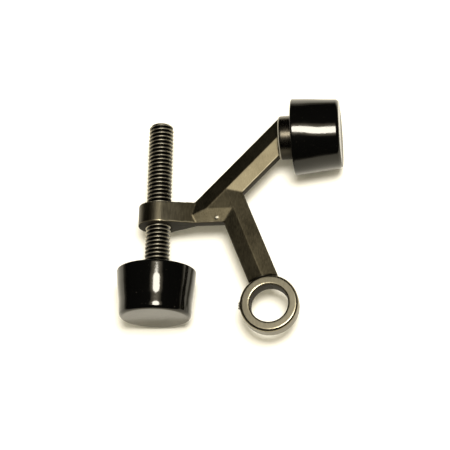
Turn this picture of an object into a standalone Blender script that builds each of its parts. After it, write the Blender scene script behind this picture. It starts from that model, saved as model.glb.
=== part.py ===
"""Hinge-pin door stop: a cast yoke, a fixed rubber bumper and a bumper on a threaded adjusting rod.

The yoke is drawn lying flat. Z runs along the hinge pin through the centre of the eye, the rod lies
along Y, and the fixed bumper points towards +X. The origin is the centre of the eye.
"""
import math

import bmesh
import bpy
from mathutils import Matrix, Vector

MM = 0.001

# Eye that slips over the door's hinge pin
EYE_RADIUS = 6.9 * MM
EYE_BORE_RADIUS = 4.5 * MM
EYE_THICKNESS = 4.3 * MM
EYE_CHAMFER = 0.45 * MM
BORE_CHAMFER = 0.25 * MM

# Arms: upright side walls, then facets that rise to a ridge on both sides
ARM_WIDTH = 6.95 * MM
WALL_HALF_HEIGHT = 1.2 * MM
RIDGE_HALF_HEIGHT = 1.95 * MM
FACET_WIDTH = 3.5 * MM
PLATE_STEP = 0.02 * MM
EYE_ARM_FOOT = Vector((0.9 * MM, 0.37 * MM))
JUNCTION = Vector((-10.67 * MM, 28.86 * MM))

# Boss for the adjusting rod, and the strap that joins it to the arms
BOSS_RADIUS = 4.8 * MM
BOSS_LENGTH = 5.06 * MM
BOSS_X = -27.2 * MM
BOSS_LOWER_Y = 20.24 * MM
STRAP_OVERRUN = 0.5 * MM
STRAP_LOWER_Y = 20.6 * MM
STRAP_UPPER_Y = 25.9 * MM
STRAP_TAIL = 1.5 * MM
STRAP_TAIL_DROP = 0.15 * MM

# Post that carries the fixed bumper
POST_AXIS_ANGLE = math.radians(1.9)
POST_BASE = Vector((2.1 * MM, 42.3 * MM))
NECK_RADIUS = 5.3 * MM
NECK_LENGTH = 3.35 * MM
NECK_EDGE = 0.5 * MM
ARM_BURIED = 1.0 * MM

# Mushroom flange inside each bumper, the same on the post and on the rod
FLANGE_RADIUS = 7.0 * MM
FLANGE_THICKNESS = 2.7 * MM
FLANGE_DEPTH = 3.3 * MM
FLANGE_CHAMFER = 0.4 * MM

# Rubber bumpers, both from one mould
BUMPER_BACK_RADIUS = 9.5 * MM
BUMPER_FACE_RADIUS = 8.6 * MM
BUMPER_LENGTH = 11.55 * MM
BUMPER_FACE_ROUNDING = 0.95 * MM
BUMPER_BACK_CHAMFER = 0.3 * MM

# Adjusting rod, metric M6 x 1 coarse thread
ROD_RADIUS = 3.0 * MM
THREAD_PITCH = 1.0 * MM
THREAD_DEPTH = 0.61 * MM
CREST_FLAT = 0.13 * MM
ROOT_FLAT = 0.25 * MM
ROD_TIP_Y = 46.75 * MM
ROD_TIP_FLAT_RADIUS = 1.9 * MM
ROD_TIP_HEIGHT = 1.1 * MM
ADJUSTING_BUMPER_BACK_Y = 9.03 * MM
ROD_IN_HEAD = 5.4 * MM
HEAD_COLLAR = 0.6 * MM

# Clearances
SEAT_GAP = 0.3 * MM
THREAD_CLEARANCE = 0.15 * MM
THREAD_AXIAL_CLEARANCE = 0.06 * MM

ROUND_STEPS = 48
THREAD_STEPS = 16
MERGE_DISTANCE = 1e-6
BLOCK_SIZE = 0.12
CUT_MARGIN = 2.0 * MM


def clear_scene():
    for item in list(bpy.data.objects):
        bpy.data.objects.remove(item, do_unlink=True)


def new_collection(name):
    collection = bpy.data.collections.new(name)
    bpy.context.scene.collection.children.link(collection)
    return collection


def make_material(name, colour, roughness, metallic):
    material = bpy.data.materials.new(name)
    material.use_nodes = True
    shader = material.node_tree.nodes["Principled BSDF"]
    shader.inputs["Base Color"].default_value = (*colour, 1.0)
    shader.inputs["Roughness"].default_value = roughness
    shader.inputs["Metallic"].default_value = metallic
    return material


def add_mesh_object(name, mesh, collection):
    item = bpy.data.objects.new(name, mesh)
    collection.objects.link(item)
    return item


def add_helper(name, mesh):
    """An object that only shapes others: shown as wire and never rendered."""
    item = add_mesh_object(name, mesh, shapers)
    item.hide_render = True
    item.display_type = "WIRE"
    return item


def evaluated_mesh(item):
    """The object's mesh with its modifiers, in world space and with welded points."""
    graph = bpy.context.evaluated_depsgraph_get()
    mesh = bpy.data.meshes.new_from_object(item.evaluated_get(graph))
    mesh.transform(item.matrix_world)
    shape = bmesh.new()
    shape.from_mesh(mesh)
    bmesh.ops.remove_doubles(shape, verts=shape.verts, dist=MERGE_DISTANCE)
    shape.to_mesh(mesh)
    shape.free()
    return mesh


def profile_mesh(name, points):
    """An open outline of (radius, height) points at +X, for a Screw modifier about Z."""
    mesh = bpy.data.meshes.new(name)
    shape = bmesh.new()
    verts = [shape.verts.new((radius, 0.0, height)) for radius, height in points]
    for start, end in zip(verts, verts[1:]):
        shape.edges.new((start, end))
    shape.to_mesh(mesh)
    shape.free()
    return mesh


def add_screw(item, steps, offset=0.0):
    screw = item.modifiers.new("turn", "SCREW")
    screw.axis = "Z"
    screw.steps = steps
    screw.render_steps = steps
    screw.screw_offset = offset
    screw.use_merge_vertices = True
    screw.merge_threshold = MERGE_DISTANCE
    screw.use_smooth_shade = False
    return screw


def axis_frame(point, direction):
    """World matrix that puts local Z on a direction, with its origin at a point."""
    turn = direction.normalized().to_track_quat("Z", "Y").to_matrix().to_4x4()
    return Matrix.Translation(point) @ turn


def turned_mesh(name, points, frame, steps=ROUND_STEPS):
    """A closed solid of revolution, as a mesh in world space."""
    item = add_helper(name + "_profile", profile_mesh(name, points))
    add_screw(item, steps)
    item.matrix_world = frame
    bpy.context.view_layer.update()
    mesh = evaluated_mesh(item)
    bpy.data.objects.remove(item, do_unlink=True)
    return mesh


def cylinder_profile(radius, low, high, chamfer=0.0):
    """Outline of a cylinder between two heights, with both rims chamfered."""
    points = [(0.0, high), (radius - chamfer, high), (radius, high - chamfer)]
    points += [(radius, low + chamfer), (radius - chamfer, low), (0.0, low)]
    return [point for index, point in enumerate(points) if index == 0 or point != points[index - 1]]


def arc(centre, radius, start, end, count):
    """Points along an arc, angles in radians, both ends included."""
    angles = [start + (end - start) * step / count for step in range(count + 1)]
    return [(centre[0] + radius * math.cos(a), centre[1] + radius * math.sin(a)) for a in angles]


def slice_block(name, planes):
    """A block cut by planes, each a point and an outward normal; what lies outside goes."""
    shape = bmesh.new()
    bmesh.ops.create_cube(shape, size=BLOCK_SIZE)
    for point, normal in planes:
        everything = shape.verts[:] + shape.edges[:] + shape.faces[:]
        bmesh.ops.bisect_plane(
            shape, geom=everything, dist=1e-7, plane_co=point, plane_no=normal, clear_outer=True
        )
        rim = [edge for edge in shape.edges if edge.is_boundary]
        bmesh.ops.holes_fill(shape, edges=rim)
    bmesh.ops.recalc_face_normals(shape, faces=shape.faces)
    mesh = bpy.data.meshes.new(name)
    shape.to_mesh(mesh)
    shape.free()
    return mesh


class Wall:
    """A straight side of the yoke: a point on it and the direction that points into the metal."""

    def __init__(self, point, inward):
        self.point = Vector((point[0], point[1], 0.0))
        self.inward = Vector((inward[0], inward[1], 0.0)).normalized()

    def set_in(self):
        """The same side a little further in, so that joined plates don't share a plane."""
        return Wall(self.point + self.inward * PLATE_STEP, self.inward)

    def side(self):
        return (self.point, -self.inward)

    def facets(self):
        """The sloped planes that start on the wall's upper and lower edges."""
        rise = RIDGE_HALF_HEIGHT - WALL_HALF_HEIGHT
        planes = []
        for sign in (1, -1):
            edge = self.point + Vector((0.0, 0.0, sign * WALL_HALF_HEIGHT))
            planes.append((edge, -self.inward * rise + Vector((0.0, 0.0, sign * FACET_WIDTH))))
        return planes


def along(angle):
    return Vector((math.cos(angle), math.sin(angle)))


def left_of(angle):
    return along(angle + math.pi / 2)


def angle_to(start, end):
    step = end - start
    return math.atan2(step.y, step.x)


def flat_planes(level):
    """Flat top and bottom of the yoke, a little below the ridges."""
    height = Vector((0.0, 0.0, RIDGE_HALF_HEIGHT - level))
    return [(height, Vector((0.0, 0.0, 1.0))), (-height, Vector((0.0, 0.0, -1.0)))]


def roof(name, sides, extra=(), level=0.0):
    """A plate whose sides rise through facets to the ridge height."""
    planes = flat_planes(level) + list(extra)
    for wall in sides:
        planes.append(wall.side())
        planes += wall.facets()
    return slice_block(name, planes)


def arm_walls():
    """The side walls of both arms, whose middle lines meet at the junction, and the strap's."""
    half = ARM_WIDTH / 2
    post_left = left_of(angle_to(JUNCTION, POST_BASE))
    eye_right = -left_of(angle_to(EYE_ARM_FOOT, JUNCTION))
    return {
        "post_left": Wall(JUNCTION + post_left * half, -post_left),
        "post_right": Wall(JUNCTION - post_left * half, post_left),
        "eye_right": Wall(JUNCTION + eye_right * half, -eye_right),
        "eye_left": Wall(JUNCTION - eye_right * half, eye_right),
        "strap_lower": Wall((JUNCTION.x, STRAP_LOWER_Y), (0.0, 1.0)),
    }


def strap_end_x():
    """Where the strap runs out: just inside the post arm's wall, at the strap's upper side."""
    wall = arm_walls()["post_left"]
    across = (wall.point.y - STRAP_UPPER_Y) * wall.inward.y
    return wall.point.x + across / wall.inward.x + STRAP_OVERRUN


def arm_meshes():
    """Post arm, eye arm and the flat-topped triangle between their ridges."""
    walls = arm_walls()
    post_axis = along(POST_AXIS_ANGLE).to_3d()
    post_upward = left_of(POST_AXIS_ANGLE).to_3d()
    post_end = (POST_BASE.to_3d() + post_axis * ARM_BURIED, post_axis)
    post_top = (POST_BASE.to_3d() + post_upward * (NECK_RADIUS - NECK_EDGE), post_upward)
    eye_end = (Vector((0.0, 0.0, 0.0)), EYE_ARM_FOOT.to_3d() - JUNCTION.to_3d())
    post_arm = roof(
        "post_arm", [walls["post_left"], walls["post_right"], walls["strap_lower"]],
        extra=[post_end, post_top],
    )
    eye_arm = roof(
        "eye_arm", [walls["eye_left"], walls["eye_right"], walls["post_left"].set_in()], extra=[eye_end]
    )
    around = ("post_left", "eye_right", "strap_lower")
    middle = roof("middle", [walls[name].set_in().set_in() for name in around], level=2 * PLATE_STEP)
    return [post_arm, eye_arm, middle]


def strap_tangent():
    """Direction, seen along the rod, from the boss's centre to where the strap's upper side leaves it."""
    across = strap_end_x() - BOSS_X
    reach = math.hypot(across, WALL_HALF_HEIGHT)
    return math.atan2(WALL_HALF_HEIGHT, across) + math.acos(BOSS_RADIUS / reach)


def strap_outline():
    """Boss and strap seen along the rod: a circle and two tangents that run down to the arm's walls."""
    tangent = strap_tangent()
    boss = arc((BOSS_X, 0.0), BOSS_RADIUS, tangent, 2 * math.pi - tangent, 30)
    end_x = strap_end_x()
    upper = [(end_x, WALL_HALF_HEIGHT), (end_x + STRAP_TAIL, WALL_HALF_HEIGHT - STRAP_TAIL_DROP)]
    lower = [(x, -z) for x, z in upper]
    return [*boss, *lower, *reversed(upper)]


def strap_mesh():
    """The strap and the boss, extruded along the rod; the strap widens towards the arms."""
    outline = strap_outline()
    shape = bmesh.new()
    verts = [shape.verts.new((x, BOSS_LOWER_Y, z)) for x, z in outline]
    face = shape.faces.new(verts)
    grown = bmesh.ops.extrude_face_region(shape, geom=[face])["geom"]
    moved = [part for part in grown if isinstance(part, bmesh.types.BMVert)]
    bmesh.ops.translate(shape, verts=moved, vec=(0.0, BOSS_LENGTH, 0.0))
    leave_x = BOSS_X + BOSS_RADIUS * math.cos(strap_tangent())
    for level in (BOSS_LOWER_Y, BOSS_LOWER_Y + BOSS_LENGTH):
        folds = [
            vert for vert in shape.verts
            if abs(vert.co.y - level) < MERGE_DISTANCE and abs(vert.co.x - leave_x) < MERGE_DISTANCE
        ]
        bmesh.ops.connect_verts(shape, verts=folds)
    upper_y = BOSS_LOWER_Y + BOSS_LENGTH
    end_x = strap_end_x()
    for vert in shape.verts:
        share = max(0.0, (vert.co.x - leave_x) / (end_x - leave_x))
        if vert.co.y > BOSS_LOWER_Y + BOSS_LENGTH / 2:
            vert.co.y = upper_y + (STRAP_UPPER_Y - upper_y) * share
        else:
            vert.co.y = BOSS_LOWER_Y + (STRAP_LOWER_Y - BOSS_LOWER_Y) * share
    bmesh.ops.recalc_face_normals(shape, faces=shape.faces)
    mesh = bpy.data.meshes.new("strap")
    shape.to_mesh(mesh)
    shape.free()
    return mesh


def flange_profile(top):
    """The flange's outline from its upper rim down to its flat end, below a neck's top."""
    low = top - FLANGE_THICKNESS
    return [
        (FLANGE_RADIUS - FLANGE_CHAMFER, top),
        (FLANGE_RADIUS, top - FLANGE_CHAMFER),
        (FLANGE_RADIUS, low + FLANGE_CHAMFER),
        (FLANGE_RADIUS - FLANGE_CHAMFER, low),
    ]


def post_mesh():
    """Neck and mushroom flange for the fixed bumper; local Z points back towards the arm."""
    top = NECK_LENGTH
    shoulder = arc((NECK_RADIUS - NECK_EDGE, top - NECK_EDGE), NECK_EDGE, math.pi / 2, 0.0, 4)
    points = [(0.0, top), *shoulder, (NECK_RADIUS, -FLANGE_DEPTH)]
    points += flange_profile(-FLANGE_DEPTH)
    points.append((0.0, -FLANGE_DEPTH - FLANGE_THICKNESS))
    return turned_mesh("post", points, fixed_bumper_frame())


def fixed_bumper_frame():
    """Local Z points out of the bumper's back face, whose centre is the origin."""
    direction = along(POST_AXIS_ANGLE).to_3d()
    back = POST_BASE.to_3d() + direction * NECK_LENGTH
    return axis_frame(back, -direction)


def adjusting_frame():
    """The same for the bumper on the rod: local Z runs up the rod."""
    back = Vector((BOSS_X, ADJUSTING_BUMPER_BACK_Y, 0.0))
    return axis_frame(back, Vector((0.0, 1.0, 0.0)))


def eye_frame():
    return Matrix.Identity(4)


def thread_profile(radius, low, high, widen=0.0):
    """A row of thread teeth from the upper end to the lower one, one tooth for each pitch."""
    crest = CREST_FLAT + widen
    root = ROOT_FLAT - widen
    flank = (THREAD_PITCH - crest - root) / 2
    turns = round((high - low) / THREAD_PITCH)
    points = []
    for turn in range(turns):
        top = high - turn * THREAD_PITCH
        points.append((radius - THREAD_DEPTH, top + root / 2))
        points.append((radius - THREAD_DEPTH, top - root / 2))
        points.append((radius, top - root / 2 - flank))
        points.append((radius, top - root / 2 - flank - crest))
    points.append((radius - THREAD_DEPTH, low + root / 2))
    return points


def threaded_mesh(name, radius, low_turn, high_turn, low, high, frame, widen=0.0):
    """A threaded bar about the frame's Z, cut square at both ends.

    Turns are counted in whole pitches from the frame's origin, so two bars with one frame mesh.
    """
    points = thread_profile(radius, low_turn * THREAD_PITCH, high_turn * THREAD_PITCH, widen)
    item = add_helper(name + "_profile", profile_mesh(name, points))
    add_screw(item, THREAD_STEPS, offset=THREAD_PITCH)
    bpy.context.view_layer.update()
    mesh = evaluated_mesh(item)
    bpy.data.objects.remove(item, do_unlink=True)
    shape = bmesh.new()
    shape.from_mesh(mesh)
    for height, normal in ((high, 1.0), (low, -1.0)):
        everything = shape.verts[:] + shape.edges[:] + shape.faces[:]
        bmesh.ops.bisect_plane(
            shape, geom=everything, dist=1e-7, plane_co=(0.0, 0.0, height),
            plane_no=(0.0, 0.0, normal), clear_outer=True,
        )
        rim = [
            edge for edge in shape.edges
            if edge.is_boundary and all(abs(v.co.z - height) < MERGE_DISTANCE for v in edge.verts)
        ]
        bmesh.ops.edgeloop_fill(shape, edges=rim)
    bmesh.ops.recalc_face_normals(shape, faces=shape.faces)
    shape.to_mesh(mesh)
    shape.free()
    mesh.transform(frame)
    return mesh


def add_boolean(item, operation, other):
    boolean = item.modifiers.new(other.name, "BOOLEAN")
    boolean.operation = operation
    boolean.solver = "EXACT"
    boolean.object = other


def rod_frame():
    """The thread's frame: local Z up the rod, its origin at the boss's lower face."""
    return axis_frame(Vector((BOSS_X, BOSS_LOWER_Y, 0.0)), Vector((0.0, 1.0, 0.0)))


def bore_profile(half):
    """The pin's hole, flared at both faces of the eye by its chamfer."""
    flare = EYE_BORE_RADIUS + BORE_CHAMFER
    upper = [
        (0.0, half + CUT_MARGIN),
        (flare, half + CUT_MARGIN),
        (flare, half),
        (EYE_BORE_RADIUS, half - BORE_CHAMFER),
    ]
    return [*upper, *[(radius, -height) for radius, height in reversed(upper)]]


def build_yoke(collection, material):
    """The casting: two arms, strap, boss, eye and post in one, bored for the pin and the rod."""
    meshes = arm_meshes()
    base = add_mesh_object("yoke", meshes[0], collection)
    base.data.materials.append(material)
    half = EYE_THICKNESS / 2
    eye = turned_mesh("eye", cylinder_profile(EYE_RADIUS, -half, half, EYE_CHAMFER), eye_frame())
    joined = {"eye_arm": meshes[1], "middle": meshes[2], "strap": strap_mesh(), "eye": eye}
    joined["post"] = post_mesh()
    for name, mesh in joined.items():
        add_boolean(base, "UNION", add_helper(name, mesh))
    bore = turned_mesh("pin_bore", bore_profile(half), eye_frame())
    add_boolean(base, "DIFFERENCE", add_helper("pin_bore", bore))
    tap = threaded_mesh(
        "tap", ROD_RADIUS + THREAD_CLEARANCE, -5, 10, -CUT_MARGIN, BOSS_LENGTH + CUT_MARGIN,
        rod_frame(), widen=2 * THREAD_AXIAL_CLEARANCE,
    )
    add_boolean(base, "DIFFERENCE", add_helper("tap", tap))
    return base


def tip_profile(tip, low):
    """A sheath just wider than the rod that rounds over its free end, in a quarter of an oval."""
    outer = ROD_RADIUS + SEAT_GAP
    shoulder = tip - ROD_TIP_HEIGHT
    oval = [
        (ROD_TIP_FLAT_RADIUS + (outer - ROD_TIP_FLAT_RADIUS) * across, shoulder + ROD_TIP_HEIGHT * up)
        for across, up in arc((0.0, 0.0), 1.0, math.pi / 2, 0.0, 5)
    ]
    end = low - CUT_MARGIN
    return [(0.0, tip), *oval, (outer, end), (0.0, end)]


def build_rod(collection, material):
    """The fully threaded rod, with a rounded free end."""
    tip = ROD_TIP_Y - BOSS_LOWER_Y
    low = ADJUSTING_BUMPER_BACK_Y - ROD_IN_HEAD - BOSS_LOWER_Y
    low_turn = math.floor(low / THREAD_PITCH) - 3
    high_turn = math.ceil(tip / THREAD_PITCH) + 3
    top = tip + SEAT_GAP
    mesh = threaded_mesh("adjusting_rod", ROD_RADIUS, low_turn, high_turn, low, top, rod_frame())
    rod = add_mesh_object("adjusting_rod", mesh, collection)
    rod.data.materials.append(material)
    envelope = turned_mesh("rod_envelope", tip_profile(tip, low), rod_frame(), THREAD_STEPS * 2)
    add_boolean(rod, "INTERSECT", add_helper("rod_envelope", envelope))
    return rod


def build_head(collection, material):
    """The flanged head staked on the rod's end, which the adjusting bumper snaps over."""
    bore = ROD_RADIUS + SEAT_GAP
    low = -FLANGE_DEPTH - FLANGE_THICKNESS
    points = [(0.0, -ROD_IN_HEAD - SEAT_GAP), (bore, -ROD_IN_HEAD - SEAT_GAP), (bore, HEAD_COLLAR)]
    points += [(NECK_RADIUS, HEAD_COLLAR), (NECK_RADIUS, -FLANGE_DEPTH), *flange_profile(-FLANGE_DEPTH)]
    points.append((0.0, low))
    head = add_mesh_object("rod_head", turned_mesh("rod_head", points, adjusting_frame()), collection)
    head.data.materials.append(material)
    return head


def bumper_profile():
    """One rubber bumper: entry collar, undercut pocket for the flange, tapered outside."""
    entry = NECK_RADIUS + SEAT_GAP
    pocket = FLANGE_RADIUS + SEAT_GAP
    shelf = -FLANGE_DEPTH + SEAT_GAP
    floor = -FLANGE_DEPTH - FLANGE_THICKNESS - SEAT_GAP
    turn = BUMPER_FACE_ROUNDING
    edge = BUMPER_BACK_CHAMFER
    face = arc((BUMPER_FACE_RADIUS - turn, turn - BUMPER_LENGTH), turn, 0.0, -math.pi / 2, 6)
    points = [(0.0, floor), (pocket, floor), (pocket, shelf), (entry, shelf), (entry, 0.0)]
    points += [(BUMPER_BACK_RADIUS - edge, 0.0), (BUMPER_BACK_RADIUS, -edge), *face]
    points.append((0.0, -BUMPER_LENGTH))
    return points


def build_bumper(name, collection, material, frame):
    bumper = add_mesh_object(name, turned_mesh(name, bumper_profile(), frame), collection)
    bumper.data.materials.append(material)
    return bumper


clear_scene()
parts = new_collection("hinge_pin_door_stop")
shapers = new_collection("shapers")
casting = make_material("bronzed_casting", (0.13, 0.115, 0.08), 0.38, 0.9)
blackened_steel = make_material("blackened_steel", (0.05, 0.047, 0.04), 0.35, 0.9)
black_rubber = make_material("black_rubber", (0.008, 0.008, 0.008), 0.15, 0.0)

build_yoke(parts, casting)
build_rod(parts, blackened_steel)
build_head(parts, blackened_steel)
build_bumper("fixed_bumper", parts, black_rubber, fixed_bumper_frame())
build_bumper("adjusting_bumper", parts, black_rubber, adjusting_frame())
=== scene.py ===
# %% [markdown]
# # A hinge-pin door stop
# This door stop hangs on the pin of a door's hinge by its eye. One rubber bumper is fixed to the casting
# and rests on the door, and the other sits on a threaded rod, so that the gap to the wall can be set.
# The imported model gives the true sizes and the bodies that move. Here every part gets its fine surface and
# its finish, so the first step loads that model as a frame.

import math

import bmesh
import bpy
import numpy as np
import mathutils.noise
from mathutils import Matrix, Vector


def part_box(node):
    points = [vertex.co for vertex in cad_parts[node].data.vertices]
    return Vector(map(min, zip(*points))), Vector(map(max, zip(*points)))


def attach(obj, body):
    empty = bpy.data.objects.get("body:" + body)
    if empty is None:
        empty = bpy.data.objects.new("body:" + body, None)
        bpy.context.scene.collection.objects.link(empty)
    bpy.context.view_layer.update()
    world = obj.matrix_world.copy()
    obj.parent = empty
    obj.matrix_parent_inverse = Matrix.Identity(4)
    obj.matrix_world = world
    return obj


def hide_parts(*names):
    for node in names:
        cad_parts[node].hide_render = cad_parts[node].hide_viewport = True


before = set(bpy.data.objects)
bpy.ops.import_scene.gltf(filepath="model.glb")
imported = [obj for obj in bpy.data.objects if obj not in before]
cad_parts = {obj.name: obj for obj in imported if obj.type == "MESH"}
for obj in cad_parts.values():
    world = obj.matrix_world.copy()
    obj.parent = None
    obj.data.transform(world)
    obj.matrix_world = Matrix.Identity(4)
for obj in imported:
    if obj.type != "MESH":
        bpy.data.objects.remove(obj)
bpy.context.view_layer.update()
MM = 0.001
SCENE = bpy.context.scene

# %% [markdown]
# ## Where the camera stands
# The stop lies flat and is seen from above, leaning a little towards the bumper on the rod. A camera can be
# aimed with a constraint, but a constraint moves when the scene is changed. Here its axes are worked out
# from an azimuth, an elevation and a small roll, and written into its matrix, so it never moves.

# %% Camera
CAMERA_TARGET = Vector((-10.93 * MM, 20.30 * MM, 0.0))
CAMERA_DISTANCE = 347.0 * MM
CAMERA_AZIMUTH = math.radians(22.73)
CAMERA_ELEVATION = math.radians(68.31)
CAMERA_ROLL = math.radians(1.13)
CAMERA_LENS = 115.97


def camera_axes(azimuth, elevation, roll):
    """The camera's right, up and back directions; back points from the target to the camera."""
    back = Vector((
        math.sin(azimuth) * math.cos(elevation),
        -math.cos(azimuth) * math.cos(elevation),
        math.sin(elevation),
    ))
    level = (-back).cross(Vector((0.0, 1.0, 0.0))).normalized()
    rise = level.cross(-back)
    right = level * math.cos(roll) + rise * math.sin(roll)
    return right, back.cross(right), back


right, up, back = camera_axes(CAMERA_AZIMUTH, CAMERA_ELEVATION, CAMERA_ROLL)
camera = bpy.data.objects.new("studio_camera", bpy.data.cameras.new("studio_camera"))
camera.data.lens = CAMERA_LENS
camera.data.clip_start = 10.0 * MM
camera.matrix_world = Matrix((
    (right.x, up.x, back.x, 0.0),
    (right.y, up.y, back.y, 0.0),
    (right.z, up.z, back.z, 0.0),
    (0.0, 0.0, 0.0, 1.0),
))
camera.location = CAMERA_TARGET + back * CAMERA_DISTANCE
SCENE.collection.objects.link(camera)
SCENE.camera = camera
print("camera stands at, mm:", [round(value / MM, 1) for value in camera.location])

# %% [markdown]
# ## Studio light
# A dark glossy thing shows what is around it more than its own colour. One round soft box almost overhead
# gives the white streaks on the rubber and lights one facet of each arm while the next stays nearly black.
# A cloth box is dimmer and browner towards its edge, so some wider and much weaker discs lie with it. A pale
# room would put a haze on every flank. So the room here lights the floor and its shadows but isn't mirrored,
# and glossy edges then end in a thin dark line. Standard colour handling lets the lit floor burn out to
# white.

# %% Lamps and room
KEY_DIRECTION = Vector((0.18, -0.025, 0.983)).normalized()
KEY_DISTANCE = 0.6
KEY_RADIUS = 0.175 * KEY_DISTANCE
KEY_POWER = 4.4
KEY_COLOUR = (1.0, 0.975, 0.92)
ROOM_COLOUR = (1.0, 0.93, 0.74)
ROOM_STRENGTH = 0.60
EDGE_REACHES = (0.22, 0.26, 0.30, 0.34)
EDGE_STEP = 0.01
EDGE_RADIANCE = 0.9
EDGE_COLOUR = (1.0, 0.88, 0.68)


def add_lamp(name, direction, distance, size, power, colour):
    """A round area lamp that faces the target from a direction."""
    lamp = bpy.data.lights.new(name, "AREA")
    lamp.shape = "DISK"
    lamp.size = size
    lamp.energy = power
    lamp.color = colour
    holder = bpy.data.objects.new(name, lamp)
    holder.matrix_world = direction.to_track_quat("Z", "Y").to_matrix().to_4x4()
    holder.location = CAMERA_TARGET + direction * distance
    SCENE.collection.objects.link(holder)


add_lamp("soft_box", KEY_DIRECTION, KEY_DISTANCE, 2 * KEY_RADIUS, KEY_POWER, KEY_COLOUR)
for index, reach in enumerate(EDGE_REACHES):
    radius = reach * KEY_DISTANCE
    area = math.pi * radius * radius
    power = EDGE_RADIANCE * math.pi * area
    distance = KEY_DISTANCE * (1.0 - EDGE_STEP * (index + 1))
    add_lamp(f"soft_box_edge_{index}", KEY_DIRECTION, distance, 2 * radius, power, EDGE_COLOUR)
room = bpy.data.worlds.new("studio_room")
room.use_nodes = True
room.node_tree.nodes["Background"].inputs["Color"].default_value = (*ROOM_COLOUR, 1.0)
room.node_tree.nodes["Background"].inputs["Strength"].default_value = ROOM_STRENGTH
room.cycles_visibility.glossy = False
SCENE.world = room
SCENE.view_settings.view_transform = "Standard"
print("soft box leans", round(math.degrees(KEY_DIRECTION.angle(Vector((0, 0, 1)))), 1), "degrees off plumb")

# %% [markdown]
# ## Shader helpers
# Materials are node trees, and building them by hand in code takes many lines. A few small helpers keep that
# short: one adds any node with its settings and inputs, some name the nodes used most, and one starts a node
# group with named inputs and outputs.

# %% Node helpers
SOCKET_TYPES = {"value": "NodeSocketFloat", "vector": "NodeSocketVector"}


def add_node(tree, kind, settings=None, **values):
    """A node with its properties; an input is a value or a link, by socket name, or i and its number."""
    node = tree.nodes.new("ShaderNode" + kind)
    for name, value in (settings or {}).items():
        setattr(node, name, value)
    for name, value in values.items():
        socket = node.inputs[int(name[1:])] if name[1:].isdigit() else node.inputs[name.replace("_", " ")]
        if isinstance(value, bpy.types.NodeSocket):
            tree.links.new(value, socket)
        else:
            socket.default_value = value
    return node


def maths(tree, operation, first, second):
    return add_node(tree, "Math", {"operation": operation}, i0=first, i1=second).outputs[0]


def map_range(tree, value, low, high, to_low=0.0, to_high=1.0):
    values = {"Value": value, "From_Min": low, "From_Max": high, "To_Min": to_low, "To_Max": to_high}
    return add_node(tree, "MapRange", {"interpolation_type": "SMOOTHSTEP"}, **values).outputs["Result"]


def noise(tree, vector, scale, detail=3.0, roughness=0.5):
    values = {"Vector": vector, "Scale": scale, "Detail": detail, "Roughness": roughness}
    return add_node(tree, "TexNoise", None, **values).outputs["Fac"]


def start_group(name, inputs, outputs):
    """A shader node group; inputs are {name: (kind, default)} and outputs are {name: kind}."""
    tree = bpy.data.node_groups.new(name, "ShaderNodeTree")
    for socket_name, (kind, default) in inputs.items():
        socket = tree.interface.new_socket(socket_name, in_out="INPUT", socket_type=SOCKET_TYPES[kind])
        if kind == "value":
            socket.default_value = default
    for socket_name, kind in outputs.items():
        tree.interface.new_socket(socket_name, in_out="OUTPUT", socket_type=SOCKET_TYPES[kind])
    return tree, tree.nodes.new("NodeGroupInput").outputs, tree.nodes.new("NodeGroupOutput").inputs


def use_group(tree, group, **values):
    return add_node(tree, "Group", {"node_tree": group}, **values).outputs


print("helpers ready")

# %% [markdown]
# ## Wear along the edges
# Handling rubs a finish off where the metal stands out. Blender's Pointiness finds such places, but it
# depends on how dense a mesh is. Each mesh here carries its own measure instead, called `fold`, which is
# above zero on an edge and below zero in a corner. This group turns it into a broken-up mask.

# %% Edge wear group
edge_wear, given, result = start_group(
    "edge wear",
    {"Fold": ("value", 0.0), "Vector": ("vector", None), "Start": ("value", 0.2), "Full": ("value", 0.6),
     "Break Up": ("value", 0.3), "Patch Scale": ("value", 900.0)},
    {"Mask": "value"},
)
patches = noise(edge_wear, given["Vector"], given["Patch Scale"], 4.0, 0.6)
swing = maths(edge_wear, "MULTIPLY", maths(edge_wear, "SUBTRACT", patches, 0.5), given["Break Up"])
shifted = maths(edge_wear, "ADD", given["Fold"], maths(edge_wear, "MULTIPLY", swing, 2.0))
edge_wear.links.new(map_range(edge_wear, shifted, given["Start"], given["Full"]), result["Mask"])
print("edge wear group:", len(edge_wear.nodes), "nodes")

# %% [markdown]
# ## Brushed grain
# A belt or a wheel leaves fine parallel lines. A noise that is stretched along one direction looks like
# them: the group scales the coordinates far more across the lines than along them. Its value moves about
# a middle of 0.5, so that a material can add it to a roughness, a colour or a height.

# %% Brushed grain group
brushed_grain, given, result = start_group(
    "brushed grain",
    {"Vector": ("vector", None), "Across": ("value", 6000.0), "Along": ("value", 400.0)},
    {"Value": "value"},
)
stretch = add_node(brushed_grain, "CombineXYZ", None, X=given["Across"], Y=given["Along"], Z=given["Across"])
stretched = add_node(
    brushed_grain, "VectorMath", {"operation": "MULTIPLY"}, i0=given["Vector"], i1=stretch.outputs[0]
)
brushed_grain.links.new(noise(brushed_grain, stretched.outputs[0], 1.0, 3.0, 0.65), result["Value"])
print("brushed grain group:", len(brushed_grain.nodes), "nodes")

# %% [markdown]
# ## Stray scratches
# Single scratches are thin, mostly straight and far apart. The edges between the cells of a stretched
# Voronoi texture are thin lines, and a noise hides most of them, so only short pieces are left.

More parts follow.
